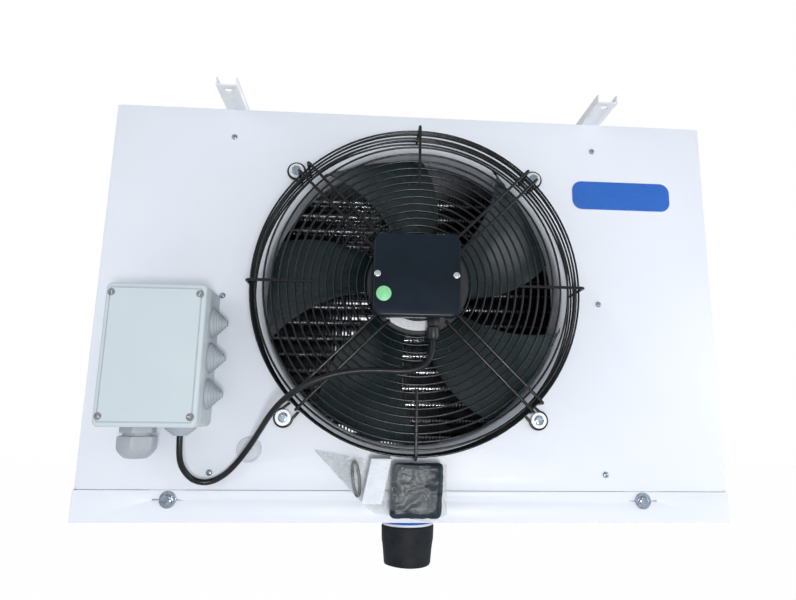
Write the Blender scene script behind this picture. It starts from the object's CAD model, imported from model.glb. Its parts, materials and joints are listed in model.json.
import json
import math

import bmesh
import bpy
from mathutils import Matrix, Vector, noise


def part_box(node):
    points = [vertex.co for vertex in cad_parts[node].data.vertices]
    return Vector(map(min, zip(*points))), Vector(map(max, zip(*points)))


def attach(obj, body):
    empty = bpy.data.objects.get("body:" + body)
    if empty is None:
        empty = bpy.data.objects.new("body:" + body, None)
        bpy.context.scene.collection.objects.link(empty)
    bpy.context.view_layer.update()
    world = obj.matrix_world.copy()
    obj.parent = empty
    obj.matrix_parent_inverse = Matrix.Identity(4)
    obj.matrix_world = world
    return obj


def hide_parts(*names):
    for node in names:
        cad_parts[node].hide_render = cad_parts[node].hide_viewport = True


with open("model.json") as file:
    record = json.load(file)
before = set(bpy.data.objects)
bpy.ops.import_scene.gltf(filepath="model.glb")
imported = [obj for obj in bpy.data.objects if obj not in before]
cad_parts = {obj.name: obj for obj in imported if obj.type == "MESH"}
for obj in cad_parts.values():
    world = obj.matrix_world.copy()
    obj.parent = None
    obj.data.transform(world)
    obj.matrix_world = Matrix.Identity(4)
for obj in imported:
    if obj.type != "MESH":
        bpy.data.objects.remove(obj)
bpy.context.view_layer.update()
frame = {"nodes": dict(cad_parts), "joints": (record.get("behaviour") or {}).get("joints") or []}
print("frame loaded")

mm = 0.001
inward = (0, 1, 0)  # from the viewer into the casing
panelLow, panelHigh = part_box("front_panel")
frontY = panelLow[1]  # the panel's face
seamZ = panelLow[2]  # the line between the panel and the tray
axisZ = frame["joints"][0]["pos_m"][2]  # the fan's axis
axisPoint = (0, frontY, axisZ)


def ahead(depth):  # a Y in front of the panel, from millimetres
    return frontY - depth * mm


def up(height):  # a Z above the tray seam, from millimetres
    return seamZ + height * mm


# Nodes, for the finishes and for what repeats
def setInputs(tree, node, values):
    # Another node's output is linked, anything else becomes the input's own value
    for key, value in values.items():
        if isinstance(value, bpy.types.NodeSocket):
            tree.links.new(value, node.inputs[key])
        else:
            node.inputs[key].default_value = value


def addNode(tree, kind, values=None, **settings):
    node = tree.nodes.new(kind)
    for key, value in settings.items():
        setattr(node, key, value)
    setInputs(tree, node, values or {})
    return node


def calc(tree, operation, first, second=0):
    return addNode(tree, "ShaderNodeMath", {0: first, 1: second}, operation=operation).outputs[0]


finishes = {}


def newFinish(name):
    finishes[name] = bpy.data.materials.new(name)
    finishes[name].use_nodes = True
    tree = finishes[name].node_tree
    return tree, tree.nodes["Principled BSDF"]


def objectPlace(tree, stretch=(1, 1, 1)):
    coords = addNode(tree, "ShaderNodeTexCoord").outputs["Object"]
    return addNode(tree, "ShaderNodeMapping", {"Vector": coords, "Scale": stretch}).outputs["Vector"]


def splitPlace(tree, place):
    return addNode(tree, "ShaderNodeSeparateXYZ", {0: place}).outputs


def noiseField(tree, place, size, detail=3.0, rough=0.55):
    return addNode(tree, "ShaderNodeTexNoise", {
        "Vector": place, "Scale": 1 / size, "Detail": detail, "Roughness": rough}).outputs["Fac"]


def spread(tree, value, low, high, start=0.3, end=0.7):
    return addNode(tree, "ShaderNodeMapRange", {
        "Value": value, "From Min": start, "From Max": end, "To Min": low, "To Max": high}).outputs["Result"]


def blendColours(tree, value, first, second):
    # Each end is a colour of three numbers or another node's output
    ends = [end if isinstance(end, bpy.types.NodeSocket) else (*end, 1) for end in (first, second)]
    return addNode(tree, "ShaderNodeMix", {0: value, 6: ends[0], 7: ends[1]}, data_type="RGBA").outputs[2]


def addBump(tree, shader, height, depth, strength):
    bump = addNode(tree, "ShaderNodeBump", {"Height": height, "Distance": depth, "Strength": strength})
    setInputs(tree, shader, {"Normal": bump.outputs["Normal"]})


def surfaceFinish(name, tone, second, patch, rough, grainSize, grainDepth, look=None):
    # Two close tones in soft patches, an uneven roughness and a fine grain
    look = {"stretch": (1, 1, 1), "wear": 0.02, "strength": 0.5, "metal": 0.0, "specular": 0.5, **(look or {})}
    tree, shader = newFinish(name)
    place = objectPlace(tree, look["stretch"])
    patches = noiseField(tree, place, patch)
    wear = noiseField(tree, place, look["wear"], 4.0)
    addBump(tree, shader, noiseField(tree, place, grainSize, 2.0), grainDepth, look["strength"])
    setInputs(tree, shader, {
        "Base Color": blendColours(tree, spread(tree, patches, 0, 1), tone, second),
        "Roughness": spread(tree, wear, *rough),
        "Metallic": look["metal"], "Specular IOR Level": look["specular"]})


# Each finish: tone, second tone, patch size, roughness, grain size, grain depth, and what else differs
looks = {
    "casingPaint": ((0.83, 0.865, 0.93), (0.805, 0.84, 0.91), 0.22, (0.30, 0.42), 0.0016, 0.00003,
        {"strength": 0.35, "wear": 0.05}),
    "railPaint": ((0.84, 0.86, 0.89), (0.79, 0.81, 0.84), 0.03, (0.34, 0.48), 0.0014, 0.00004),
    "brightZinc": ((0.80, 0.82, 0.84), (0.62, 0.65, 0.68), 0.003, (0.16, 0.34), 0.0006, 0.00003,
        {"metal": 1.0}),
    "washerZinc": ((0.86, 0.89, 0.92), (0.74, 0.78, 0.82), 0.003, (0.38, 0.5), 0.0006, 0.00003,
        {"metal": 0.55}),
    "dullZinc": ((0.26, 0.31, 0.37), (0.44, 0.51, 0.58), 0.0025, (0.22, 0.40), 0.0005, 0.00004,
        {"metal": 1.0}),
    "galvanisedSheet": ((0.62, 0.65, 0.67), (0.46, 0.49, 0.51), 0.006, (0.28, 0.5), 0.001, 0.00003,
        {"metal": 1.0}),
    "guardCoat": ((0.0028, 0.003, 0.0038), (0.005, 0.0055, 0.0065), 0.03, (0.14, 0.24), 0.001, 0.00002,
        {"specular": 0.42}),
    "motorPaint": ((0.004, 0.005, 0.006), (0.008, 0.0095, 0.011), 0.02, (0.30, 0.46), 0.0012, 0.00006,
        {"specular": 0.25}),
    "bladePlastic": ((0.006, 0.015, 0.016), (0.014, 0.030, 0.032), 0.05, (0.20, 0.32), 0.0015, 0.00002,
        {"specular": 0.35, "wear": 0.03}),
    "terminalPlastic": ((0.004, 0.009, 0.014), (0.007, 0.014, 0.026), 0.05, (0.18, 0.28), 0.0007, 0.00002,
        {"specular": 0.2, "wear": 0.03}),
    "glandPlastic": ((0.010, 0.012, 0.014), (0.018, 0.020, 0.023), 0.01, (0.24, 0.4), 0.0012, 0.00004,
        {"specular": 0.35}),
    "boxPlastic": ((0.56, 0.62, 0.645), (0.52, 0.58, 0.61), 0.08, (0.40, 0.54), 0.0007, 0.00004),
    "lidPlastic": ((0.60, 0.675, 0.705), (0.575, 0.65, 0.685), 0.09, (0.36, 0.5), 0.0006, 0.00004),
    "lidScrewPlastic": ((0.13, 0.14, 0.145), (0.28, 0.30, 0.305), 0.003, (0.2, 0.4), 0.0012, 0.00004),
    "entryRubber": ((0.44, 0.48, 0.52), (0.38, 0.42, 0.46), 0.012, (0.5, 0.66), 0.0008, 0.00005),
    "grommetRubber": ((0.66, 0.69, 0.74), (0.60, 0.63, 0.69), 0.008, (0.5, 0.66), 0.0008, 0.00004),
    "boxGlandPlastic": ((0.44, 0.465, 0.50), (0.37, 0.395, 0.43), 0.02, (0.4, 0.55), 0.0012, 0.00004),
    "plateBlue": ((0.02, 0.13, 0.52), (0.025, 0.15, 0.58), 0.03, (0.22, 0.32), 0.002, 0.00002),
    "stickerGreen": ((0.20, 0.62, 0.28), (0.27, 0.70, 0.36), 0.003, (0.3, 0.4), 0.0012, 0.00004),
    "tubeMetal": ((0.60, 0.62, 0.65), (0.42, 0.44, 0.47), 0.01, (0.15, 0.3), 0.0012, 0.00004, {"metal": 1.0}),
    "copperPipe": ((0.72, 0.36, 0.22), (0.55, 0.26, 0.16), 0.02, (0.22, 0.42), 0.0012, 0.00004,
        {"metal": 1.0}),
    "steelGround": ((0.55, 0.56, 0.58), (0.48, 0.49, 0.5), 0.01, (0.2, 0.32), 0.0012, 0.00004,
        {"metal": 1.0}),
    "cableRubber": ((0.003, 0.0035, 0.005), (0.007, 0.008, 0.010), 0.02, (0.24, 0.36), 0.0012, 0.00004,
        {"specular": 0.35}),
    "gasketBlue": ((0.015, 0.11, 0.50), (0.02, 0.15, 0.60), 0.01, (0.35, 0.5), 0.0012, 0.00004),
    "ringWhite": ((0.80, 0.83, 0.88), (0.74, 0.77, 0.83), 0.01, (0.35, 0.5), 0.0012, 0.00004),
    "sleeveRubber": ((0.006, 0.0075, 0.010), (0.012, 0.015, 0.020), 0.012, (0.5, 0.68), 0.0009, 0.0001,
        {"specular": 0.25}),
    "cardWhite": ((0.84, 0.88, 0.94), (0.78, 0.82, 0.90), 0.012, (0.35, 0.55), 0.0012, 0.00004),
    "wrapDark": ((0.012, 0.018, 0.026), (0.030, 0.042, 0.055), 0.008, (0.20, 0.32), 0.014, 0.0009,
        {"strength": 0.5, "stretch": (0.45, 1.0, 1.5), "specular": 0.16}),
    "stripWhite": ((0.75, 0.75, 0.72), (0.75, 0.75, 0.72), 0.06, (0.4, 0.55), 0.0012, 0.00004),
}

# Where the label is bare: inside a radius, left of an X, below a height from the fan's axis, in metres
label = {
    "radius": (0.0510, 0.0514), "right": (0.012, 0.013), "top": (-0.031, -0.030), "spots": 0.004,
    "dark": (0.012, 0.013, 0.015), "bare": ((0.82, 0.84, 0.86), (0.66, 0.69, 0.72)), "rough": (0.26, 0.4)}


def labelFinish():
    # A dark ring label whose lowest part is bare pale foil
    tree, shader = newFinish("labelFoil")
    place = objectPlace(tree)
    parts = splitPlace(tree, place)
    flat = addNode(tree, "ShaderNodeMapping", {"Vector": place, "Location": (0, 0, -axisZ), "Scale": (1, 0, 1)})
    radius = addNode(tree, "ShaderNodeVectorMath", {0: flat.outputs[0]}, operation="LENGTH").outputs["Value"]
    within = spread(tree, radius, 1, 0, *label["radius"])
    leftward = spread(tree, parts["X"], 1, 0, *label["right"])
    below = spread(tree, parts["Z"], 1, 0, *(axisZ + height for height in label["top"]))
    bare = calc(tree, "MULTIPLY", calc(tree, "MULTIPLY", within, leftward), below)
    speckle = noiseField(tree, place, label["spots"])
    pale = blendColours(tree, spread(tree, speckle, 0, 1), *label["bare"])
    setInputs(tree, shader, {
        "Base Color": blendColours(tree, bare, label["dark"], pale),
        "Roughness": spread(tree, speckle, *label["rough"])})


foil = {
    "bareFrom": 0.035, "bareTo": 0.002, "spots": 0.02, "cloud": (0.8, 1.0), "dusty": (0.022, 0.025, 0.029),
    "bare": (0.62, 0.64, 0.67), "rough": (0.38, 0.58), "metal": 0.8}


def finFinish():
    # Aluminium foil, bare at the air inlet behind and dull with dust on the fan side
    tree, shader = newFinish("finFoil")
    place = objectPlace(tree)
    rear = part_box("fin_pack")[1][1]
    bare = spread(tree, splitPlace(tree, place)["Y"], 0, 1, rear - foil["bareFrom"], rear - foil["bareTo"])
    speckle = noiseField(tree, place, foil["spots"])
    cloudy = calc(tree, "MULTIPLY", bare, spread(tree, speckle, *foil["cloud"]))
    setInputs(tree, shader, {
        "Base Color": blendColours(tree, cloudy, foil["dusty"], foil["bare"]),
        "Roughness": spread(tree, speckle, *foil["rough"]), "Metallic": foil["metal"]})


# The film is stretched clear over what it holds, so it is milky only beyond these two places along X, in metres
film = {
    "leftEnd": (-0.060, -0.050), "leftMilk": (1.0, 0.30), "rightEnd": (0.030, 0.034), "rightMilk": (0.0, 0.62),
    "folds": 0.012, "foldRange": (0.38, 0.66), "milk": (0.22, 0.46),
    "wrinkles": 0.016, "wrinkleStretch": (0.8, 1, 1.6), "ridgeHalf": 0.010, "ridgeMilk": 0.34,
    "tone": (0.60, 0.65, 0.64), "ridgeTone": (0.84, 0.87, 0.89), "rough": 0.16, "specular": 0.5,
    "creases": 0.011, "creaseStretch": (0.5, 1, 2.2), "relief": 0.0006, "strength": 0.3}


def filmFinish():
    # Clear crumpled film: see-through, milky where it folds, with sharp highlights
    tree, shader = newFinish("clearFilm")
    place = objectPlace(tree)
    milk = spread(tree, noiseField(tree, place, film["folds"], 5.0, 0.6), *film["milk"], *film["foldRange"])
    along = splitPlace(tree, place)["X"]
    gathered = calc(tree, "MAXIMUM", spread(tree, along, *film["leftMilk"], *film["leftEnd"]),
                    spread(tree, along, *film["rightMilk"], *film["rightEnd"]))
    wrinkles = noiseField(tree, objectPlace(tree, film["wrinkleStretch"]), film["wrinkles"], 3.0, 0.5)
    fromRidge = calc(tree, "ABSOLUTE", calc(tree, "SUBTRACT", wrinkles, 0.5))
    ridge = spread(tree, fromRidge, 1.0, 0.0, 0.0, film["ridgeHalf"])
    veil = calc(tree, "MULTIPLY", milk, gathered)
    creases = noiseField(tree, objectPlace(tree, film["creaseStretch"]), film["creases"], 4.0, 0.6)
    addBump(tree, shader, creases, film["relief"], film["strength"])
    setInputs(tree, shader, {
        "Alpha": calc(tree, "MAXIMUM", veil, calc(tree, "MULTIPLY", ridge, film["ridgeMilk"])),
        "Base Color": blendColours(tree, ridge, film["tone"], film["ridgeTone"]),
        "Roughness": film["rough"], "Specular IOR Level": film["specular"]})


for name, look in looks.items():
    surfaceFinish(name, *look)
labelFinish()
finFinish()
filmFinish()
print("finishes made")


# Meshes and pieces
def linkObject(name, data):
    holder = bpy.data.objects.new(name, data)
    bpy.context.scene.collection.objects.link(holder)
    return holder


def addPiece(name, mesh, slot, *nodes, body="casing"):
    piece = linkObject(name, mesh)
    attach(piece, body)
    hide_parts(*nodes)


def finishMesh(mesh, finish, angle):
    mesh.materials.clear()
    mesh.materials.append(finishes[finish])
    mesh.shade_smooth()
    mesh.set_sharp_from_angle(angle=math.radians(angle))
    return mesh


def evaluatedMesh(name, holder):
    # The holder's mesh as its modifier or curve makes it; the holder goes
    mesh = bpy.data.meshes.new_from_object(holder.evaluated_get(bpy.context.evaluated_depsgraph_get()))
    bpy.data.objects.remove(holder)
    mesh.name = name
    return mesh


def workMesh(name, work, finish, angle):
    mesh = bpy.data.meshes.new(name)
    work.to_mesh(mesh)
    work.free()
    return finishMesh(mesh, finish, angle)


def meshFromWork(name, work, finish, angle):
    bmesh.ops.remove_doubles(work, verts=work.verts, dist=1e-6)
    bmesh.ops.recalc_face_normals(work, faces=work.faces)
    return workMesh(name, work, finish, angle)


def stackInto(work, rings, capped=True):
    # Joins closed outlines of the same number of points into a skin
    rows = [[work.verts.new(point) for point in ring] for ring in rings]
    for low, high in zip(rows, rows[1:]):
        count = len(low)
        for index in range(count):
            after = (index + 1) % count
            work.faces.new((low[index], low[after], high[after], high[index]))
    if capped:
        work.faces.new(rows[0])
        work.faces.new(list(reversed(rows[-1])))


def roundedOutline(width, tall, corner, steps):
    least = 1e-6
    corner = max(min(corner, width / 2 - least, tall / 2 - least), least)
    points = []
    for right, top, start in ((1, 1, 0), (-1, 1, 90), (-1, -1, 180), (1, -1, 270)):
        for step in range(steps + 1):
            turn = math.radians(start + 90 * step / steps)
            points.append((right * (width / 2 - corner) + corner * math.cos(turn),
                           top * (tall / 2 - corner) + corner * math.sin(turn)))
    return points


def slabPiece(name, look, steps, cornerSteps, angle, finish, slot, node):
    # A slab with round corners; steps are pairs of depth before the panel and inset from the outline
    cornerShrink = 0.8  # how much of an inset the corner's radius loses
    rings = []
    for depth, inset in steps:
        outline = roundedOutline(look["width"] - 2 * inset, look["tall"] - 2 * inset,
                                 look["corner"] - inset * cornerShrink, cornerSteps)
        rings.append([((look["x"] + u) * mm, ahead(depth), look["z"] + v * mm) for u, v in outline])
    work = bmesh.new()
    stackInto(work, rings)
    addPiece(name, meshFromWork(name, work, finish, angle), slot, node)


def edgeSteps(depth, radius, count=6):
    # A quarter round from the side to the face at this depth
    steps = []
    for step in range(count + 1):
        turn = math.radians(90 * step / count)
        steps.append((depth - radius + radius * math.sin(turn), radius * (1 - math.cos(turn))))
    return steps


def turnedInto(work, profile, centre, axis, count):
    # Turns a closed profile of (along, radius) in millimetres round an axis
    alongAxis = Vector(axis).normalized()
    side = alongAxis.orthogonal().normalized()
    other = alongAxis.cross(side)
    rows = []
    for along, radius in profile:
        middle = Vector(centre) + alongAxis * (along * mm)
        if radius * mm < 1e-7:
            row = [work.verts.new(middle)] * count
        else:
            row = []
            for index in range(count):
                turn = math.tau * index / count
                spot = side * math.cos(turn) + other * math.sin(turn)
                row.append(work.verts.new(middle + spot * (radius * mm)))
        rows.append(row)
    for low, high in zip(rows, rows[1:] + rows[:1]):
        for index in range(count):
            after = (index + 1) % count
            corners = []
            for vert in (low[index], low[after], high[after], high[index]):
                if vert not in corners:
                    corners.append(vert)
            if len(corners) > 2:
                work.faces.new(corners)


def turnedPiece(name, profile, centres, axis, count, finish, angle, slot, node, body="casing"):
    work = bmesh.new()
    for centre in centres:
        turnedInto(work, profile, centre, axis, count)
    addPiece(name, meshFromWork(name, work, finish, angle), slot, node, body=body)


def softened(points, radius, count):
    # Rounds the corners of a profile or path, and leaves its two ends
    shortest = 0.45  # the share of a run that a corner may take
    result = [points[0]]
    for before, here, after in zip(points, points[1:], points[2:]):
        a, b, c = Vector(before), Vector(here), Vector(after)
        reach = min(radius, (b - a).length * shortest, (c - b).length * shortest)
        start = b + (a - b).normalized() * reach
        end = b + (c - b).normalized() * reach
        for step in range(count + 1):
            t = step / count
            result.append(tuple(start * (1 - t) ** 2 + b * 2 * t * (1 - t) + end * t ** 2))
    result.append(points[-1])
    return result


def polyCurve(curve, path, closed=False):
    spline = curve.splines.new("POLY")
    spline.points.add(len(path) - 1)
    for point, spot in zip(spline.points, path):
        point.co = (*spot, 1)
    spline.use_cyclic_u = closed


def wireMesh(name, paths, radius, finish, roundness):
    curve = bpy.data.curves.new(name, "CURVE")
    curve.dimensions = "3D"
    curve.bevel_depth = radius
    curve.bevel_resolution = roundness
    curve.use_fill_caps = True
    for path in paths:
        polyCurve(curve, path)
    return finishMesh(evaluatedMesh(name, linkObject(name + "Line", curve)), finish, 50)


def dressNode(node, finish, slot, edge=0.0):
    # A merged copy of a CAD node with its long edges eased
    work = bmesh.new()
    work.from_mesh(frame["nodes"][node].data)
    bmesh.ops.remove_doubles(work, verts=work.verts, dist=2e-6)
    bmesh.ops.dissolve_limit(
        work, angle_limit=math.radians(0.5), use_dissolve_boundaries=False, verts=work.verts, edges=work.edges)
    if edge:
        sharp = math.radians(50)
        corners = [line for line in work.edges
                   if len(line.link_faces) == 2 and line.calc_face_angle(0) > sharp]
        bmesh.ops.bevel(
            work, geom=corners, offset=edge, segments=2, profile=0.5, affect="EDGES", clamp_overlap=True)
    addPiece(node + "Dressed", workMesh(node + "Dressed", work, finish, 40), slot, node)


# Node trees for what repeats
def newTree(name, inputs):
    tree = bpy.data.node_groups.new(name, "GeometryNodeTree")
    for label, kind in inputs.items():
        tree.interface.new_socket(label, in_out="INPUT", socket_type="NodeSocket" + kind)
    tree.interface.new_socket("Geometry", in_out="OUTPUT", socket_type="NodeSocketGeometry")
    return tree, tree.nodes.new("NodeGroupInput").outputs


def vectorOf(tree, x=0, y=0, z=0):
    return addNode(tree, "ShaderNodeCombineXYZ", {0: x, 1: y, 2: z}).outputs[0]


def meshLine(tree, count, start, offset):
    return addNode(tree, "GeometryNodeMeshLine", {
        "Count": count, "Start Location": start, "Offset": offset}).outputs[0]


def onPoints(tree, points, instance, **values):
    return addNode(tree, "GeometryNodeInstanceOnPoints", {
        "Points": points, "Instance": instance, **values}).outputs[0]


def closeTree(tree, given, geometry, smooth=None):
    last = addNode(tree, "GeometryNodeRealizeInstances", {0: geometry}).outputs[0]
    if smooth is not None:
        last = addNode(tree, "GeometryNodeSetShadeSmooth", {"Geometry": last, "Shade Smooth": smooth}).outputs[0]
    painted = addNode(tree, "GeometryNodeSetMaterial", {"Geometry": last, "Material": given["Material"]})
    addNode(tree, "NodeGroupOutput", {0: painted.outputs[0]})
    return tree


def runTree(name, tree, values, start=None):
    holder = linkObject(name + "Nodes", start or bpy.data.meshes.new(name + "Start"))
    modifier = holder.modifiers.new(name, "NODES")
    modifier.node_group = tree
    names = {item.name: item.identifier for item in tree.interface.items_tree if item.in_out == "INPUT"}
    for label, value in values.items():
        modifier[names[label]] = value
    return evaluatedMesh(name, holder)


def ringNestTree():
    # Wire rings one inside or behind another, round an axis along Y
    tree, given = newTree("ringNest", {
        "Count": "Int", "First Radius": "Float", "Radius Step": "Float", "First Y": "Float", "Y Step": "Float",
        "Centre Z": "Float", "Wire Radius": "Float", "Material": "Material"})
    line = meshLine(tree, given["Count"], vectorOf(tree, 0, given["First Y"], given["Centre Z"]),
                    vectorOf(tree, 0, given["Y Step"], 0))
    circle = addNode(tree, "GeometryNodeCurvePrimitiveCircle", {"Resolution": 112, "Radius": 1.0}).outputs[0]
    index = addNode(tree, "GeometryNodeInputIndex").outputs[0]
    size = calc(tree, "ADD", given["First Radius"], calc(tree, "MULTIPLY", index, given["Radius Step"]))
    rings = onPoints(tree, line, circle, Rotation=(math.pi / 2, 0, 0), Scale=vectorOf(tree, size, size, size))
    real = addNode(tree, "GeometryNodeRealizeInstances", {0: rings}).outputs[0]
    section = addNode(tree, "GeometryNodeCurvePrimitiveCircle", {
        "Resolution": 10, "Radius": given["Wire Radius"]})
    skin = addNode(tree, "GeometryNodeCurveToMesh", {0: real, 1: section.outputs[0]})
    return closeTree(tree, given, skin.outputs[0], True)


def finRowTree():
    # Thin upright plates in a row along X
    tree, given = newTree("finRow", {
        "Count": "Int", "Pitch": "Float", "Thickness": "Float", "Depth": "Float", "Height": "Float",
        "Start": "Vector", "Material": "Material"})
    plate = addNode(tree, "GeometryNodeMeshCube", {
        "Size": vectorOf(tree, given["Thickness"], given["Depth"], given["Height"])}).outputs[0]
    line = meshLine(tree, given["Count"], given["Start"], vectorOf(tree, given["Pitch"], 0, 0))
    return closeTree(tree, given, onPoints(tree, line, plate), False)


def tubeBankTree():
    # Tubes along X in rows and columns
    tree, given = newTree("tubeBank", {
        "Rows": "Int", "Columns": "Int", "Row Pitch": "Float", "Column Pitch": "Float", "Tube Radius": "Float",
        "Length": "Float", "Start": "Vector", "Material": "Material"})
    tube = addNode(tree, "GeometryNodeMeshCylinder", {
        "Vertices": 14, "Radius": given["Tube Radius"], "Depth": given["Length"]}, fill_type="NONE")
    column = meshLine(tree, given["Columns"], (0, 0, 0), vectorOf(tree, 0, given["Column Pitch"], 0))
    oneRow = onPoints(tree, column, tube.outputs["Mesh"], Rotation=(0, math.pi / 2, 0))
    rows = meshLine(tree, given["Rows"], given["Start"], vectorOf(tree, 0, 0, given["Row Pitch"]))
    return closeTree(tree, given, onPoints(tree, rows, oneRow), True)


def fastenerTree():
    # One fastener on every point, each turned by its own amount round its axis
    tree, given = newTree("fastenerSet", {
        "Points": "Geometry", "Fastener": "Object", "Facing": "Vector", "Spin": "Float", "Seed": "Int",
        "Material": "Material"})
    source = addNode(tree, "GeometryNodeObjectInfo", {"Object": given["Fastener"], "As Instance": True})
    chance = addNode(tree, "FunctionNodeRandomValue", {"Seed": given["Seed"]}, data_type="FLOAT").outputs[1]
    turn = calc(tree, "MULTIPLY", chance, given["Spin"])
    place = onPoints(tree, given["Points"], source.outputs["Geometry"], Rotation=given["Facing"])
    spin = addNode(tree, "GeometryNodeRotateInstances", {
        "Instances": place, "Rotation": vectorOf(tree, 0, 0, turn)})
    return closeTree(tree, given, spin.outputs[0])


ringNest = ringNestTree()
finRow = finRowTree()
tubeBank = tubeBankTree()
fastenerSet = fastenerTree()


def placeFasteners(name, source, spots, spin, seed, slot, node):
    holder = linkObject(name + "Source", source)
    start = bpy.data.meshes.new(name + "Spots")
    start.from_pydata([tuple(spot) for spot in spots], [], [])
    mesh = runTree(name, fastenerSet, {
        "Fastener": holder, "Facing": (math.pi / 2, 0, 0),  # a fastener's own +Z faces the viewer
        "Spin": spin, "Seed": seed, "Material": source.materials[0]}, start)
    bpy.data.objects.remove(holder)
    addPiece(name, mesh, slot, node)


def crossOutline(reach, half, arms, count):
    # A star-shaped recess outline: a cross with four arms or a slot with two
    points = []
    for index in range(count):
        turn = math.tau * index / count
        local = (turn + math.pi / arms) % (math.tau / arms) - math.pi / arms
        if abs(local) <= math.atan2(half, reach):
            radius = reach / math.cos(local)
        else:
            radius = min(half / max(math.sin(abs(local)), 1e-4), reach * 1.02)
        points.append((radius * math.cos(turn), radius * math.sin(turn)))
    return points


def recessedHead(name, look, finish):
    # A round screw head along +Z with a recess, and a short shank below
    count = 48
    taper = 0.82  # the recess's floor as a share of its mouth
    rings = []
    for height, radius in look["profile"]:
        rings.append([(radius * math.cos(math.tau * i / count) * mm, radius * math.sin(math.tau * i / count) * mm,
                       height * mm) for i in range(count)])
    top = look["profile"][-1][0]
    outline = crossOutline(look["reach"], look["half"], look["arms"], count)
    for height, share in ((top, 1.0), (top - look["deep"], taper)):
        rings.append([(u * share * mm, v * share * mm, height * mm) for u, v in outline])
    work = bmesh.new()
    stackInto(work, rings)
    return meshFromWork(name, work, finish, 32)


fullRound = 0.134  # the rounding that pulls a hexagon's corners in to a circle


def hexRing(across, height, rounding=0.0, count=48):
    # A hexagon across its flats, whose corners can be pulled to a circle
    ring = []
    for index in range(count):
        turn = math.tau * index / count
        local = (turn + math.pi / 6) % (math.pi / 3) - math.pi / 6
        radius = across / 2 / math.cos(local)
        radius = min(radius, across / 2 / math.cos(math.pi / 6) * (1 - rounding))
        ring.append((radius * math.cos(turn) * mm, radius * math.sin(turn) * mm, height * mm))
    return ring


# The head above its flange: share of the width, drop below the top, rounding
headSteps = ((1.0, 0.7, 0.0), (0.985, 0.25, 0.05), (0.90, 0.0, 0.09), (0.55, 0.0, 0.11), (0.48, 0.35, 0.11))


def hexHead(name, look, finish):
    # A hexagon head with a chamfered top on a round flange
    flange, shoulder, across = look["flange"] * 2, look["flangeHigh"], look["across"]
    rings = [hexRing(flange, 0, fullRound), hexRing(flange, shoulder, fullRound)]
    rings.append(hexRing(across, shoulder + 0.15))
    rings += [hexRing(across * share, look["high"] - drop, rounding) for share, drop, rounding in headSteps]
    work = bmesh.new()
    stackInto(work, rings)
    return meshFromWork(name, work, finish, 28)


def hexPiece(name, centre, steps, finish, angle, slot, node):
    # A gland below its centre; steps are (along, across flats, corner rounding), in millimetres
    rings = []
    for along, across, rounding in steps:
        ring = hexRing(across, 0, rounding, 72)
        rings.append([(centre.x + x, centre.y + y, centre.z - along * mm) for x, y, z in ring])
    work = bmesh.new()
    stackInto(work, rings)
    addPiece(name, meshFromWork(name, work, finish, angle), slot, node)


print("helpers ready")

# Nodes whose CAD mesh only needs a finish
for node, finish in (
    ("motor_shaft", "steelGround"), ("rear_bearing", "steelGround"), ("front_bearing", "steelGround"),
    ("motor_stator", "motorPaint"), ("motor_label", "labelFoil"), ("terminal_strip", "stripWhite"),
    ("coil_plate_left", "galvanisedSheet"), ("coil_plate_right", "galvanisedSheet"),
    ("return_bends_left", "copperPipe"), ("return_bends_right", "copperPipe"), ("drain_spout", "ringWhite"),
):
    coated = frame["nodes"][node].data
    coated.materials.clear()
    coated.materials.append(finishes[finish])

# Casing
sheetEdge = 0.35 * mm
railEdge = 0.4 * mm
for sheetNode in ("top_panel", "side_panel_left", "side_panel_right", "bend_cover", "pipe_cover", "drain_tray"):
    dressNode(sheetNode, "casingPaint", "casing_sheet", sheetEdge)
for railNode in ("rail_left", "rail_right"):
    dressNode(railNode, "railPaint", "casing_sheet", railEdge)
dressNode("tray_brackets", "galvanisedSheet", "rail_steel", sheetEdge)

panel = {
    "sheet": 1.2, "edge": 0.4, "opening": 176.0, "lip": 9.0, "lipSteps": 10, "collar": 45.0, "segments": 128,
    "screwHole": 2.15, "boltHole": 3.15, "holeSides": 16, "foldHalf": 337, "foldFrom": 1.0, "foldTo": 18,
    "lowFold": 0.1, "topFold": 1.4, "screwX": 222, "screwRows": (18, 214, 409), "boltRadius": 205,
    "centre": 222.5}
screwSpots = [(side * panel["screwX"], row) for row in panel["screwRows"] for side in (-1, 1)]
guardBoltSpots = []
for quarter in range(4):
    turn = math.radians(45 + 90 * quarter)
    guardBoltSpots.append((panel["boltRadius"] * math.cos(turn),
                           panel["centre"] + panel["boltRadius"] * math.sin(turn)))


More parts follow.
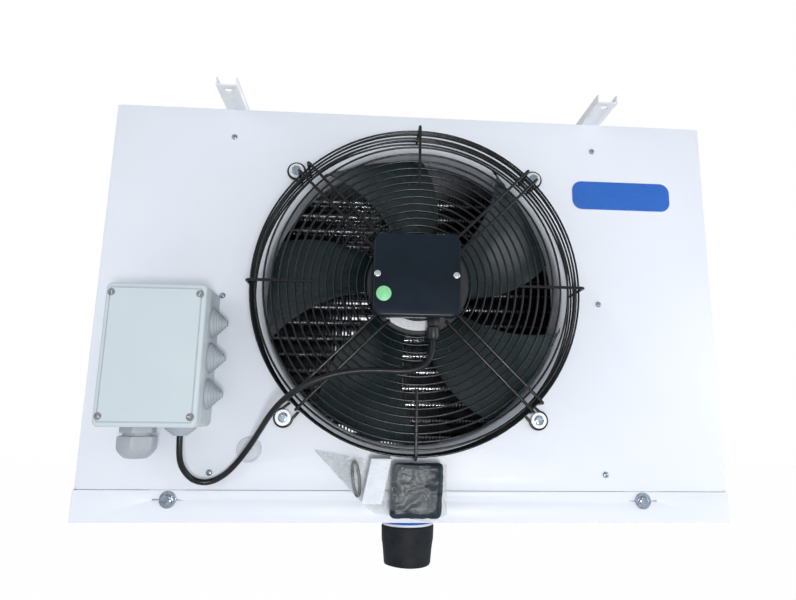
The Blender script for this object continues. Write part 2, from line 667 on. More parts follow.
def panelMesh():
    # The flat sheet is filled between its outline and its holes, then the rolled ring is turned into it
    lip, sheet, opening, collar = panel["lip"], panel["sheet"], panel["opening"], panel["collar"]
    curve = bpy.data.curves.new("panelOutline", "CURVE")
    curve.dimensions = "2D"
    curve.fill_mode = "BOTH"
    curve.extrude = sheet / 2 * mm
    wide = (panelHigh[0] - panelLow[0]) / 2
    high = panelHigh[2] - panelLow[2]
    polyCurve(curve, [(-wide, 0, 0), (wide, 0, 0), (wide, high, 0), (-wide, high, 0)], True)
    circles = [(0, axisZ - seamZ, (opening + lip) * mm, panel["segments"])]
    circles += [(x * mm, z * mm, panel["screwHole"] * mm, panel["holeSides"]) for x, z in screwSpots]
    circles += [(x * mm, z * mm, panel["boltHole"] * mm, panel["holeSides"]) for x, z in guardBoltSpots]
    for x, z, radius, count in circles:
        turns = [math.tau * i / count for i in range(count)]
        polyCurve(curve, [(x + radius * math.cos(turn), z + radius * math.sin(turn), 0) for turn in turns], True)
    flat = evaluatedMesh("panelFlat", linkObject("panelSheet", curve))
    flat.transform(Matrix.Translation((0, frontY + sheet / 2 * mm, seamZ)) @ Matrix.Rotation(math.pi / 2, 4, "X"))
    work = bmesh.new()
    work.from_mesh(flat)
    bmesh.ops.remove_doubles(work, verts=work.verts, dist=1e-6)

    def onRim(vert):
        near = 1e-5
        x, z = vert.co.x, vert.co.z
        return abs(abs(x) - wide) < near or z < seamZ + near or z > panelHigh[2] - near

    corners = [line for line in work.edges
               if len(line.link_faces) == 2 and line.calc_face_angle(0) > 1.2 and all(map(onRim, line.verts))]
    bmesh.ops.bevel(work, geom=corners, offset=panel["edge"] * mm, segments=2, profile=0.5, affect="EDGES")
    outer, inner = [], []
    for step in range(panel["lipSteps"] + 1):
        bend = math.radians(90 * step / panel["lipSteps"])
        outer.append((lip - lip * math.cos(bend), opening + lip - lip * math.sin(bend)))
        inner.append((lip - (lip - sheet) * math.cos(bend), opening + lip - (lip - sheet) * math.sin(bend)))
    end = [(collar - 0.3, opening), (collar, opening + 0.3), (collar, opening + sheet)]
    turnedInto(work, outer + end + list(reversed(inner)), axisPoint, inward, panel["segments"])
    half, near, far = panel["foldHalf"] * mm, frontY + panel["foldFrom"] * mm, frontY + panel["foldTo"] * mm
    for z, fold in ((seamZ + panel["lowFold"] * mm, 1), (panelHigh[2] - panel["topFold"] * mm, -1)):
        strip = [(-half, near), (half, near), (half, far), (-half, far)]
        stackInto(work, [[(x, y, z) for x, y in strip], [(x, y, z + fold * sheet * mm) for x, y in strip]])
    return workMesh("frontPanel", work, "casingPaint", 30)


addPiece("frontPanel", panelMesh(), "casing_sheet", "front_panel")
print("casing done")

# Guard
guard = {
    "depth": 60.0, "first": 58.4, "pitch": 8.4, "count": 15, "wire": 1.2, "bar": 1.7, "weld": 0.4,
    "corner": 185.5, "foot": 186.8, "sideFirst": 49.0, "sideStep": -11.0, "sideCount": 5,
    "inner": 113.0, "pairInner": 50.0, "pairHalf": 7.0, "bolt": 205.0, "loop": 9.8, "loopTurn": 125,
    "loopSteps": 16, "round": 5.0}


def legRadius(depth):
    return guard["corner"] + (guard["foot"] - guard["corner"]) * (guard["depth"] - depth) / guard["depth"]


def ringMesh(name, count, firstRadius, radiusStep, firstDepth, depthStep):
    return runTree(name, ringNest, {
        "Count": count, "First Radius": firstRadius * mm, "Radius Step": radiusStep * mm,
        "First Y": ahead(firstDepth), "Y Step": -depthStep * mm, "Centre Z": axisZ,
        "Wire Radius": guard["wire"] * mm, "Material": finishes["guardCoat"]})


frontRings = ringMesh("guardRings", guard["count"], guard["first"], guard["pitch"], guard["depth"], 0)
sideRadius = legRadius(guard["sideFirst"]) - guard["wire"] - guard["bar"] + guard["weld"]
sideGrow = (guard["foot"] - guard["corner"]) / guard["depth"] * -guard["sideStep"]
sideRings = ringMesh("guardSideRings", guard["sideCount"], sideRadius, sideGrow, guard["sideFirst"],
                     guard["sideStep"])
spokeDepth = guard["depth"] + guard["wire"] + guard["bar"] - guard["weld"]


def spokePath(eighth):
    # A single spoke goes out and down its leg, a double one also round its bolt and back
    turn = math.radians(45 * eighth)
    radial = Vector((math.cos(turn), 0, math.sin(turn)))
    tangent = Vector((-math.sin(turn), 0, math.cos(turn)))

    def spot(radius, depth, shift=0.0):
        return Vector((0, ahead(depth), axisZ)) + (radial * radius + tangent * shift) * mm

    paired = eighth % 2
    legs = ((guard["pairInner" if paired else "inner"], spokeDepth), (guard["corner"], spokeDepth),
            (guard["foot"], guard["bar"]))
    if not paired:
        return [spot(radius, depth) for radius, depth in legs]
    half = guard["pairHalf"]
    line = [spot(radius, depth, -half) for radius, depth in legs]
    for step in range(guard["loopSteps"] + 1):
        bend = math.radians(-guard["loopTurn"] + 2 * guard["loopTurn"] * step / guard["loopSteps"])
        reach, shift = guard["loop"] * math.cos(bend), guard["loop"] * math.sin(bend)
        line.append(spot(guard["bolt"] + reach, guard["bar"], shift))
    return line + [spot(radius, depth, half) for radius, depth in reversed(legs)]


spokePaths = [softened(spokePath(eighth), guard["round"] * mm, 6) for eighth in range(8)]
spokes = wireMesh("guardSpokes", spokePaths, guard["bar"] * mm, "guardCoat", 3)
guardWork = bmesh.new()
for wires in (frontRings, sideRings, spokes):
    guardWork.from_mesh(wires)
addPiece("fanGuard", workMesh("fanGuard", guardWork, "guardCoat", 60), "guard_wire", "fan_guard")
print("guard done")

# Fan and motor
fan = {"blades": 5, "root": 50.0, "tip": 172.5, "thick": 2.6, "sections": 22, "chordSteps": 18, "camber": 0.07,
       "edgeFrom": 0.86, "edgeThin": 0.75}
# A blade's stations: radius, chord, pitch in degrees, sweep in degrees, setback
bladeStations = ((40.0, 52.0, 46.0, 0.0, -14.0), (84.0, 84.0, 35.0, 4.0, -10.0),
                 (128.0, 114.0, 27.0, 11.0, -4.0), (173.0, 142.0, 22.0, 20.0, 3.0))


def bladeValue(radius, column):
    # A smooth value between the four stations of a blade
    radii = [station[0] for station in bladeStations]
    values = [station[column] for station in bladeStations]
    total = 0.0
    for i, value in enumerate(values):
        share = 1.0
        for j, other in enumerate(radii):
            if j != i:
                share *= (radius - other) / (radii[i] - other)
        total += value * share
    return total


def bladePoint(number, radius, along, side):
    # along runs from -1 at one edge to 1 at the other; side is -1 or 1 for the two faces
    chord, pitch, sweep, setback = (bladeValue(radius, column) for column in range(1, 5))
    turn = math.radians(360 * number / fan["blades"] + 90 + sweep)
    radial = Vector((math.cos(turn), 0, math.sin(turn)))
    tangent = Vector((math.sin(turn), 0, -math.cos(turn)))
    lean = math.radians(pitch)
    direction = tangent * math.cos(lean) + radial.cross(tangent) * math.sin(lean)
    across = tangent * -math.sin(lean) + radial.cross(tangent) * math.cos(lean)
    bow = fan["camber"] * chord * (1 - along * along)
    thinning = max(0.0, (abs(along) - fan["edgeFrom"]) / (1 - fan["edgeFrom"])) ** 2 * fan["edgeThin"]
    offset = bow + side * fan["thick"] / 2 * (1 - thinning)
    spot = radial * radius + direction * along * chord / 2 + across * offset
    out = math.hypot(spot.x, spot.z)
    if out > fan["tip"]:
        spot.x *= fan["tip"] / out
        spot.z *= fan["tip"] / out
    return Vector(axisPoint) + Vector((spot.x, spot.y + setback, spot.z)) * mm


def bladesMesh():
    work = bmesh.new()
    count = fan["chordSteps"]
    for number in range(fan["blades"]):
        rings = []
        for section in range(fan["sections"] + 1):
            radius = fan["root"] + (fan["tip"] - fan["root"]) * section / fan["sections"]
            rings.append([bladePoint(number, radius, side * (-1 + 2 * step / count), side)
                          for side in (1, -1) for step in range(count + 1)])
        stackInto(work, rings)
    hub = [(-41.2, 54), (-42, 53.2), (-42, 51.1), (2, 51.1), (2, 53.2), (1.2, 54)]
    turnedInto(work, hub, axisPoint, inward, 96)
    return meshFromWork("fanBlades", work, "bladePlastic", 38)


addPiece("fanBlades", bladesMesh(), "fan_plastic", "fan_blades", body="fan")
canProfile = softened([(-51, 51), (5, 51), (8, 48), (8, 6)], 3.0, 4) + [(4.5, 6), (4.5, 47.5), (-51, 47.5)]
turnedPiece("rotorCan", canProfile, [axisPoint], inward, 96, "motorPaint", 35, "rotor_paint", "rotor_can",
            body="fan")
print("fan done")

# Terminal box on the motor
terminal = {"x": -3.0, "z": axisZ + 5 * mm, "width": 94.0, "tall": 90.0, "corner": 11.0, "front": 90.0,
            "seam": 78.0, "back": 64.3, "baseInset": 1.5, "round": 3.0, "screwHalf": 42.0, "screwSunk": 0.2}
back, seam, inset = terminal["back"], terminal["seam"], terminal["baseInset"]
terminalBase = {**terminal, "width": terminal["width"] - 2 * inset, "tall": terminal["tall"] - 2 * inset,
                "corner": terminal["corner"] - inset}
terminalLip = [(seam, 0.8), (seam + 0.6, 0.0)] + edgeSteps(terminal["front"], terminal["round"])
slabPiece("terminalBase", terminalBase, [(back + 0.02, 0.6), (back + 0.8, 0), (seam - 0.4, 0), (seam, 0.4)],
          6, 30, "terminalPlastic", "terminal_plastic", "terminal_box")
slabPiece("terminalLid", terminal, terminalLip, 10, 30, "terminalPlastic", "terminal_plastic", "terminal_lid")
boxScrew = recessedHead("boxScrewHead", {
    "profile": ((-1.5, 3.4), (0.4, 3.6), (0.9, 3.4), (1.2, 2.9), (1.35, 2.3)),
    "reach": 1.9, "half": 0.5, "arms": 4, "deep": 0.9}, "brightZinc")
screwY = ahead(terminal["front"] - terminal["screwSunk"])
placeFasteners("terminalScrews", boxScrew, [
    ((terminal["x"] + side * terminal["screwHalf"]) * mm, screwY, terminal["z"]) for side in (-1, 1)],
    1.2, 3, "zinc_bolt", "terminal_screws")
stickerLow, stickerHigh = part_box("inspection_sticker")
stickerCentre = ((stickerLow[0] + stickerHigh[0]) / 2, stickerHigh[1], (stickerLow[2] + stickerHigh[2]) / 2)
turnedPiece("roundSticker", [(0, 0), (0, 8), (-0.22, 7.95), (-0.3, 7.8), (-0.3, 0)], [stickerCentre], inward, 48,
            "stickerGreen", 35, "sticker_paper", "inspection_sticker")
print("terminal box done")

# Junction box
box = {"x": -276.3, "z": up(141), "width": 104.0, "tall": 148.0, "depth": 70.0, "lid": 18.0, "corner": 6.0,
       "round": 3.5, "raised": 2.0, "screwX": 90.6, "screwZ": 126.5}
seamDepth = box["depth"] - box["lid"]
rim = box["depth"] - box["raised"]  # the lid's border, below its middle
slabPiece("junctionBase", box, [(0.02, 0.0), (seamDepth - 0.8, 0.0), (seamDepth, 0.7)], 8, 30,
          "boxPlastic", "box_plastic", "junction_box")
lidSteps = [(seamDepth, 0.7), (seamDepth + 0.8, 0.0)] + edgeSteps(rim, box["round"])
lidSteps += [(rim, 4.4), (rim - 0.9, 4.7), (rim - 0.9, 5.3), (rim + 0.6, 5.6), (box["depth"] - 0.4, 5.9),
             (box["depth"], 6.4)]
slabPiece("junctionLid", box, lidSteps, 8, 25, "lidPlastic", "lid_plastic", "junction_lid")
lidScrew = recessedHead("lidScrewHead", {
    "profile": ((-3.0, 3.9), (-0.4, 4.0), (0.1, 3.8), (0.25, 3.3)),
    "reach": 3.1, "half": 0.55, "arms": 2, "deep": 1.0}, "lidScrewPlastic")
placeFasteners("junctionLidScrews", lidScrew, [
    ((box["x"] + right * box["screwX"] / 2) * mm, ahead(box["depth"]), box["z"] + top * box["screwZ"] / 2 * mm)
    for top in (1, -1) for right in (-1, 1)], 3.1, 11, "lid_screw_plastic", "junction_lid_screws")


def steppedCone(base, tip, reach, steps, bore=0.0):
    # Rounded steps of a rubber entry on its flange, as (along, radius) in millimetres
    flange, shoulder = 1.6, 1.0
    points = [(0.2, bore), (0.2, base), (flange, base)]
    fall = (base - shoulder - tip) / steps
    rise = (reach - flange) / steps
    radius = base - shoulder
    along = flange
    for step in range(steps):
        points += [(along, radius), (along + rise * 0.75, radius - 0.25), (along + rise, radius - 0.8)]
        along += rise
        radius -= fall
    return points + [(reach, max(tip, bore + 0.6)), (reach, bore)]


entry = {"base": 16.5, "depth": 30, "rows": (178.0, 140.0, 101.5), "lowX": -249,
         "side": {"tip": 1.6, "reach": 16.5, "steps": 6},
         "low": {"tip": 5.6, "reach": 9.0, "steps": 4, "bore": 3.25}}
boxRight = (box["x"] + box["width"] / 2) * mm
boxLow = box["z"] - box["tall"] / 2 * mm
turnedPiece("cableEntries", steppedCone(entry["base"], **entry["side"]),
            [(boxRight, ahead(entry["depth"]), up(row)) for row in entry["rows"]], (1, 0, 0), 56,
            "entryRubber", 40, "entry_rubber", "cable_entries")
turnedPiece("fanCableEntry", steppedCone(entry["base"], **entry["low"]),
            [(entry["lowX"] * mm, ahead(entry["depth"]), boxLow)], (0, 0, -1), 56,
            "entryRubber", 35, "entry_rubber", "fan_cable_entry")

glandSpot = Vector((-292 * mm, ahead(32), boxLow))
hexPiece("supplyGland", glandSpot, [
    (0.25, 32.5, 0.0), (0.25, 33.2, 0.02), (1.0, 33.6, 0.02), (5.6, 33.6, 0.02), (6.1, 33.0, 0.03),
    (6.2, 30.0, fullRound), (9.25, 30.0, fullRound)], "boxGlandPlastic", 25, "box_gland_plastic", "supply_gland")
hexPiece("supplyGlandNut", glandSpot, [
    (9.35, 34.5, 0.05), (9.9, 36.4, 0.03), (11.0, 36.9, 0.025), (20.5, 36.9, 0.025), (23.5, 36.0, 0.05),
    (26.5, 33.5, 0.09), (29.5, 29.0, 0.12), (31.5, 24.0, fullRound), (32.2, 20.0, fullRound),
    (32.2, 15.0, fullRound), (29.0, 14.0, fullRound)],
    "boxGlandPlastic", 22, "box_gland_plastic", "supply_gland_nut")

turnedPiece("panelGrommet", [
    (0.1, 0), (-5.0, 0), (-5.0, 3.2), (-4.2, 3.9), (-3.6, 4.4), (-3.5, 6.4), (-3.0, 7.2), (-2.4, 8.2),
    (-2.1, 9.0), (-2.0, 10.6), (-1.5, 11.2), (-1.9, 11.8), (-1.9, 12.8), (-1.2, 13.6), (-0.1, 14.0),
    (0.1, 9.7), (4.0, 9.7), (4.0, 0)], [(-180.5 * mm, frontY, up(42.5))], inward, 56,
    "grommetRubber", 35, "grommet_rubber", "panel_grommet")
print("junction box done")

# Motor gland
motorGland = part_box("motor_gland")
glandCentre = Vector(((motorGland[0][0] + motorGland[1][0]) / 2, (motorGland[0][1] + motorGland[1][1]) / 2,
                      motorGland[1][2]))
hexPiece("motorGlandNut", glandCentre, [
    (0.05, 12.4, 0.02), (1.0, 12.9, 0.02), (8.2, 12.9, 0.02), (8.8, 12.0, 0.05), (9.3, 11.6, fullRound),
    (10.2, 13.4, fullRound), (10.6, 14.2, 0.12), (20.0, 14.2, 0.12), (22.5, 12.6, fullRound),
    (23.8, 9.6, fullRound), (24.0, 7.4, fullRound)], "glandPlastic", 25, "gland_plastic", "motor_gland")

# Screws and bolts
panScrew = recessedHead("panScrewHead", {
    "profile": ((0.0, 3.4), (0.5, 3.4), (1.1, 3.1), (1.6, 2.4), (1.8, 1.6)),
    "reach": 1.5, "half": 0.42, "arms": 4, "deep": 1.0}, "dullZinc")
washer = {"outer": 9.0, "bore": 3.15, "thick": 1.5}


def spotsAt(pairs, depth):
    return [(x * mm, ahead(depth), up(z)) for x, z in pairs]


def placeWashers(name, spots, finish, node):
    outer, bore, thick = washer["outer"], washer["bore"], washer["thick"]
    profile = [(0, bore), (0, outer - 0.3), (-0.3, outer), (-thick + 0.4, outer), (-thick, outer - 0.4),
               (-thick, bore)]
    turnedPiece(name, profile, spots, inward, 48, finish, 30, "zinc_bolt", node)


placeFasteners("panelScrews", panScrew, spotsAt(screwSpots, 0), 1.5, 5, "painted_screw", "panel_screws")
placeWashers("guardWashers", spotsAt(guardBoltSpots, 2 * guard["bar"]), "washerZinc", "guard_washers")
guardBolt = hexHead("guardBoltHead", {"flange": 5.6, "flangeHigh": 0.6, "across": 9.6, "high": 4.2}, "dullZinc")
placeFasteners("guardBolts", guardBolt, spotsAt(guardBoltSpots, 2 * guard["bar"] + washer["thick"]), 1.0, 8,
               "zinc_bolt", "guard_bolts")
trayFace = 1.2
traySpots = [(side * 263.5, -10.0) for side in (-1, 1)]
placeWashers("trayWashers", spotsAt(traySpots, trayFace), "dullZinc", "tray_washers")
trayBolt = hexHead("trayBoltHead", {"flange": 5.4, "flangeHigh": 0.8, "across": 9.6, "high": 4.0}, "dullZinc")
placeFasteners("trayBolts", trayBolt, spotsAt(traySpots, trayFace + washer["thick"]), 1.0, 2,
               "zinc_bolt", "tray_bolts")
dressNode("rail_bolts", "brightZinc", "zinc_bolt", 0.3 * mm)
print("fasteners done")

# Name plate, bare
plate = {"x": 257.0, "z": up(351), "width": 124.0, "tall": 36.0, "corner": 12.0}
slabPiece("namePlate", plate, [(0.02, 0), (0.5, 0), (0.75, 0.25), (0.8, 0.5)], 10, 30, "plateBlue", "plate_blue",
          "name_plate")

# Coil
finLow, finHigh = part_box("fin_pack")
coil = {"pitch": 5.2 * mm, "thick": 0.35 * mm, "rows": 17, "columns": 4, "tubePitch": 25 * mm, "tube": 5 * mm,
        "collar": 1.15}
finWide, finDeep, finTall = (high - low for low, high in zip(finLow, finHigh))
finCount = int((finWide - coil["thick"]) / coil["pitch"]) + 1
finMiddle = [(low + high) / 2 for low, high in zip(finLow, finHigh)]
tubeStart = coil["tubePitch"] / 2
addPiece("coilFins", runTree("coilFins", finRow, {
    "Count": finCount, "Pitch": coil["pitch"], "Thickness": coil["thick"], "Depth": finDeep, "Height": finTall,
    "Start": (finLow[0] + coil["thick"] / 2, finMiddle[1], finMiddle[2]),
    "Material": finishes["finFoil"]}), "fin_aluminium", "fin_pack")
addPiece("coilTubes", runTree("coilTubes", tubeBank, {
    "Rows": coil["rows"], "Columns": coil["columns"], "Row Pitch": coil["tubePitch"],
    "Column Pitch": coil["tubePitch"], "Tube Radius": coil["tube"] * coil["collar"], "Length": finWide,
    "Start": (finMiddle[0], finLow[1] + tubeStart, finLow[2] + tubeStart),
    "Material": finishes["tubeMetal"]}), "fin_aluminium", "fin_pack")
for node in ("suction_header", "liquid_header"):
    dressNode(node, "copperPipe", "copper")
print("coil done")

# Drain
drainCentre = Vector((0, -0.135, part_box("drain_gasket")[1][2]))
for name, profile, finish, slot, node in (
    ("drainGasket", [(0, 21.2), (0, 27.2), (0.6, 27.5), (6.9, 27.5), (7.4, 27.2), (7.4, 21.2)],
     "gasketBlue", "gasket_blue", "drain_gasket"),
    ("drainRing", [(7.5, 21.2), (7.5, 29.1), (8.0, 29.5), (9.6, 29.5), (10.1, 29.1), (10.1, 21.2)],
     "ringWhite", "ring_white", "drain_ring"),
):
    turnedPiece(name, profile, [drainCentre], (0, 0, -1), 64, finish, 35, slot, node)
sleeve = {
    "levels": [(10.2, 21.15), (10.2, 29.6), (10.9, 30.4), (12.1, 30.7), (18, 30.5), (26, 30.2), (32, 29.2),
               (38, 28.4), (44, 27.9), (50, 27.4), (52.6, 27.2), (54.2, 26.6), (54.6, 25.6), (54.2, 21.3),
               (40, 21.2)],
    "sides": 72, "loosenFrom": 20, "loosenOver": 30, "wobble": 0.5, "cut": -1.3, "length": 55.6, "boreBelow": 22}


def sleeveMesh():
    # A cut piece of rubber hose: a slight waist, an uneven lower edge
    rings = []
    for depth, radius in sleeve["levels"]:
        ring = []
        for index in range(sleeve["sides"]):
            turn = math.tau * index / sleeve["sides"]
            wobble = noise.noise(Vector((math.cos(turn) * 1.4, math.sin(turn) * 1.4, depth * 0.03)))
            share = min(max((depth - sleeve["loosenFrom"]) / sleeve["loosenOver"], 0), 1)
            wave = 0.5 + 0.5 * math.sin(turn * 2 + 0.8)
            drop = sleeve["cut"] * share * wave * (depth / sleeve["length"]) ** 4
            swell = radius + (sleeve["wobble"] * wobble * share if radius > sleeve["boreBelow"] else 0)
            ring.append((drainCentre.x + swell * math.cos(turn) * mm, drainCentre.y + swell * math.sin(turn) * mm,
                         drainCentre.z - (depth + drop) * mm))
        rings.append(ring)
    work = bmesh.new()
    stackInto(work, rings + [rings[0]], False)
    return meshFromWork("drainSleeve", work, "sleeveRubber", 50)


addPiece("drainSleeve", sleeveMesh(), "sleeve_rubber", "drain_sleeve")
print("drain done")

# Fan cable, as (x, depth before the panel, height above the tray seam)
cable = {"diameter": 6.5 * mm, "length": 0.3903}
cableRoute = (
    (15.6, 72.5, 144), (5, 74.5, 130.5), (-14, 75.5, 126.5), (-40, 75.5, 127.6), (-68, 75.5, 126.5),
    (-94, 75.5, 121), (-118, 75.5, 111), (-138, 70.5, 97), (-152.5, 55, 82), (-165, 35, 64.5),
    (-178, 18, 46), (-191.5, 10, 28.5), (-204.5, 7.5, 15.5), (-220, 7.5, 8), (-235.5, 12, 10.5), (-245.5, 20.5, 22.5), (-249, 28.5, 37))
cablePoints = [Vector((glandCentre.x, glandCentre.y, motorGland[0][2]))]
cablePoints += [Vector((x * mm, ahead(depth), up(height))) for x, depth, height in cableRoute]
cablePoints.append(Vector((entry["lowX"] * mm, ahead(entry["depth"]), boxLow - entry["low"]["reach"] * mm)))
cableCurve = bpy.data.curves.new("fanCable", "CURVE")
cableCurve.dimensions = "3D"
cableCurve.bevel_depth = cable["diameter"] / 2
cableCurve.bevel_resolution = 5
cableCurve.resolution_u = 14
cableCurve.use_fill_caps = True
cableLine = cableCurve.splines.new("NURBS")
cableLine.points.add(len(cablePoints) - 1)
for point, routePoint in zip(cableLine.points, cablePoints):
    point.co = (*routePoint, 1)
cableLine.order_u = 3
cableLine.use_endpoint_u = True
cableCurve.materials.append(finishes["cableRubber"])
fanCable = linkObject("fanCable", cableCurve)
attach(fanCable, "casing")
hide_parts("fan_cable")
print("cable done")

# Accessory bag: its two edges as (x, height above the tray seam)
bag = {"back": 5.0, "deep": 32.0, "across": 64, "down": 40, "emptyLeftOf": -66, "emptyFill": 0.25,
       "crumples": ((0.022, 1.0), (0.045, 0.6), (0.09, 0.35)), "frontCrumple": 1.1, "backCrumple": 0.5}
bagTop = ((-108, 43.0), (-80, 38.0), (-50, 33.5), (-20, 30.8), (0, 29.4), (20, 29.0), (39, 28.0))
bagBottom = ((-108, 42.0), (-80, 13.5), (-54, -12.5), (-40, -23.6), (-10, -28.0), (21.8, -32.8), (39, -24.8))


def alongLine(points, share):
    spans = [math.dist(a, b) for a, b in zip(points, points[1:])]
    left = share * sum(spans)
    for a, b, span in zip(points, points[1:], spans):
        if left <= span or b == points[-1]:
            t = min(left / span, 1)
            return a[0] + (b[0] - a[0]) * t, a[1] + (b[1] - a[1]) * t
        left -= span


def bagPoint(u, v, side):
    # u runs along the bag, v down it; side is 0 for the back film and 1 for the front one
    top, low = alongLine(bagTop, u), alongLine(bagBottom, u)
    x = top[0] + (low[0] - top[0]) * v
    z = top[1] + (low[1] - top[1]) * v
    seal = max(min(1.0, u * 3.2, (1 - u) * 5.0, (1 - v) * 4.5), 0.0) ** 0.6  # flat at the sealed edges
    fill = bag["emptyFill"] + (1 - bag["emptyFill"]) / (1 + math.exp(-(x - bag["emptyLeftOf"]) / 5))
    crumple = 0.0
    for size, weight in bag["crumples"]:
        crumple += weight * (1 - 2 * abs(noise.noise(Vector((x * size, z * size, 3.7 * side)) * 2.2)))
    depth = bag["back"] + 0.4
    if side:
        depth += (bag["deep"] - 3.0) * seal * fill * (0.86 + 0.05 * crumple) + 0.5
        depth += bag["frontCrumple"] * crumple * seal
    else:
        depth += bag["backCrumple"] * crumple * seal
    depth = min(max(depth, bag["back"] + 0.05), bag["back"] + bag["deep"] - 0.1)
    return Vector((x * mm, ahead(depth), up(z)))


bagWork = bmesh.new()
for side in (0, 1):
    grid = [[bagWork.verts.new(bagPoint(i / bag["across"], j / bag["down"], side))
             for i in range(bag["across"] + 1)] for j in range(bag["down"] + 1)]
    for j in range(bag["down"]):
        for i in range(bag["across"]):
            corners = (grid[j][i], grid[j][i + 1], grid[j + 1][i + 1], grid[j + 1][i])
            bagWork.faces.new(corners if side else tuple(reversed(corners)))
addPiece("accessoryBag", workMesh("accessoryBag", bagWork, "clearFilm", 60), "bag_film", "accessory_bag")


def softBlock(name, low, high, look, finish):
    # A block with round corners whose skin is a little uneven; lean slants it sideways over its height
    cuts, seed, corner = 26, 0.37, look["corner"] * mm
    work = bmesh.new()
    bmesh.ops.create_cube(work, size=1.0)
    bmesh.ops.subdivide_edges(work, edges=work.edges, cuts=cuts, use_grid_fill=True)
    centre = (Vector(low) + Vector(high)) / 2
    half = (Vector(high) - Vector(low)) / 2
    for vert in work.verts:
        skin = Vector([vert.co[i] * 2 * half[i] for i in range(3)])
        core = Vector([min(max(skin[i], -half[i] + corner), half[i] - corner) for i in range(3)])
        outward = (skin - core).normalized()
        if (skin - core).length > 1e-9:
            skin = core + outward * corner
            place = Vector((skin.x * 55 + seed, skin.y * 55, skin.z * 130 - skin.x * 40))
            ridge = 1 - 2 * abs(noise.noise(place + Vector((0, 0, 0.6 * noise.noise(place * 1.7)))))
            skin -= outward * (look["uneven"] * mm) * (0.5 - 0.5 * ridge)
        vert.co = centre + skin + Vector((look["lean"] * mm * skin.z / (2 * half.z), 0, 0))
    return meshFromWork(name, work, finish, 40)


cardInBag = {"left": -50.5, "right": -28.0, "top": 36.0, "corner": 1.2, "uneven": 0.4, "lean": 9.5}
controllerInBag = {"left": -24.0, "right": 32.5, "top": 31.5, "corner": 6.0, "uneven": 1.5, "lean": 3.0}
for node, name, look, finish, slot in (
    ("bag_box", "bagBox", cardInBag, "cardWhite", "bag_card"),
    ("bag_controller", "bagController", controllerInBag, "wrapDark", "controller_plastic"),
):
    low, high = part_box(node)
    low, high = (look["left"] * mm, low[1], low[2]), (look["right"] * mm, high[1], up(look["top"]))
    addPiece(name, softBlock(name, low, high, look, finish), slot, node)

lead = {"half": 3.6, "lean": 2.4, "deep": 2.0, "tall": 18.0, "wire": 1.8, "steps": 48}
leadLow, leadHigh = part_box("bag_lead")
leadCentre = (Vector(leadLow) + Vector(leadHigh)) / 2
leadLine = []
for step in range(lead["steps"] + 1):
    turn = math.tau * step / lead["steps"]
    leadLine.append((leadCentre.x + lead["half"] * mm * math.cos(turn) - lead["lean"] * mm * math.sin(turn),
                     leadCentre.y + lead["deep"] * mm * math.cos(turn),
                     leadCentre.z + lead["tall"] * mm * math.sin(turn)))
leadMesh = wireMesh("bagLoop", [leadLine], lead["wire"] * mm, "cableRubber", 2)
addPiece("bagLoop", leadMesh, "lead_rubber", "bag_lead")
print("bag done")

# Floor, light and camera
stage = {"floorZ": -1.25, "size": 12.0, "tone": (0.86, 0.86, 0.87, 1), "rough": 0.9, "seenWhite": 0.985,
         "ambient": (0.93, 0.96, 1.0, 1), "ambientLevel": 0.58}
floorWork = bmesh.new()
bmesh.ops.create_grid(floorWork, x_segments=1, y_segments=1, size=stage["size"])
floorMesh = bpy.data.meshes.new("floor")
floorWork.to_mesh(floorMesh)
floorWork.free()
floorMesh.transform(Matrix.Translation((0, 0, stage["floorZ"])))


def whiteToCamera(tree, kind, shader, end, share):
    # The camera sees plain white, all else the shader itself
    seen = calc(tree, "MULTIPLY", addNode(tree, "ShaderNodeLightPath").outputs["Is Camera Ray"], share)
    plain = addNode(tree, kind, {"Color": (1, 1, 1, 1), "Strength": 1.0})
    mix = addNode(tree, "ShaderNodeMixShader", {0: seen, 1: shader.outputs[0], 2: plain.outputs[0]})
    setInputs(tree, tree.nodes[end], {"Surface": mix.outputs[0]})


floorTree, floorShader = newFinish("paleFloor")
setInputs(floorTree, floorShader, {"Base Color": stage["tone"], "Roughness": stage["rough"]})
whiteToCamera(floorTree, "ShaderNodeEmission", floorShader, "Material Output", stage["seenWhite"])
floorMesh.materials.append(finishes["paleFloor"])
floor = linkObject("floor", floorMesh)

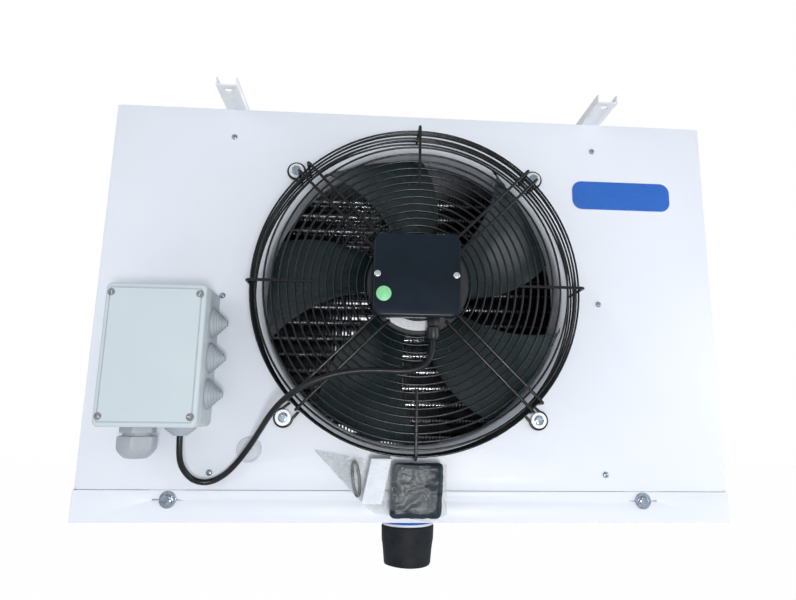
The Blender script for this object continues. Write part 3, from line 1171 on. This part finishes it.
world = bpy.data.worlds.new("studio")
bpy.context.scene.world = world
world.use_nodes = True
ambient = world.node_tree.nodes["Background"]
setInputs(world.node_tree, ambient, {"Color": stage["ambient"], "Strength": stage["ambientLevel"]})
whiteToCamera(world.node_tree, "ShaderNodeBackground", ambient, "World Output", 1.0)

for name, place, aim, size, power, tone in (
    ("keyLamp", (0.12, -1.85, -0.62), (0, 0, -0.22), 0.32, 10, (1.0, 0.99, 0.98)),
    ("sideLamp", (1.7, -0.9, -0.4), (0, -0.1, -0.25), 1.0, 8, (0.96, 0.98, 1.0)),
    ("fillLamp", (-1.5, -1.3, 0.1), (0, 0, -0.25), 1.2, 4, (0.93, 0.96, 1.0)),
    ("backLamp", (1.2, 1.7, 0.6), (0, 0.1, -0.2), 1.2, 12, (1.0, 1.0, 1.0)),
):
    lamp = bpy.data.lights.new(name, "AREA")
    lamp.shape = "DISK"
    lamp.size = size
    lamp.energy = power
    lamp.color = tone
    holder = linkObject(name, lamp)
    holder.location = place
    holder.rotation_euler = (Vector(aim) - Vector(place)).to_track_quat("-Z", "Y").to_euler()

eye = {"place": (-0.05362, -1.00848, -0.35914), "yaw": 4.45, "pitch": 12.73, "roll": 0.71, "lens": 31.56,
       "shiftX": -0.0314, "shiftY": -0.0595}
yaw, pitch, roll = (math.radians(eye[key]) for key in ("yaw", "pitch", "roll"))
look = Vector((math.sin(yaw) * math.cos(pitch), math.cos(yaw) * math.cos(pitch), math.sin(pitch)))
level = Vector((math.cos(yaw), -math.sin(yaw), 0))
rise = level.cross(look)
right = level * math.cos(roll) + rise * math.sin(roll)
top = rise * math.cos(roll) - level * math.sin(roll)
cameraData = bpy.data.cameras.new("camera")
cameraData.lens = eye["lens"]
cameraData.sensor_width = 36
cameraData.sensor_fit = "HORIZONTAL"
cameraData.shift_x = eye["shiftX"]
cameraData.shift_y = eye["shiftY"]
cameraData.clip_start = 0.01
camera = linkObject("camera", cameraData)
camera.matrix_world = Matrix.Translation(eye["place"]) @ Matrix((right, top, -look)).transposed().to_4x4()
bpy.context.scene.camera = camera
bpy.context.scene.view_settings.view_transform = "Standard"
print("light and camera set")
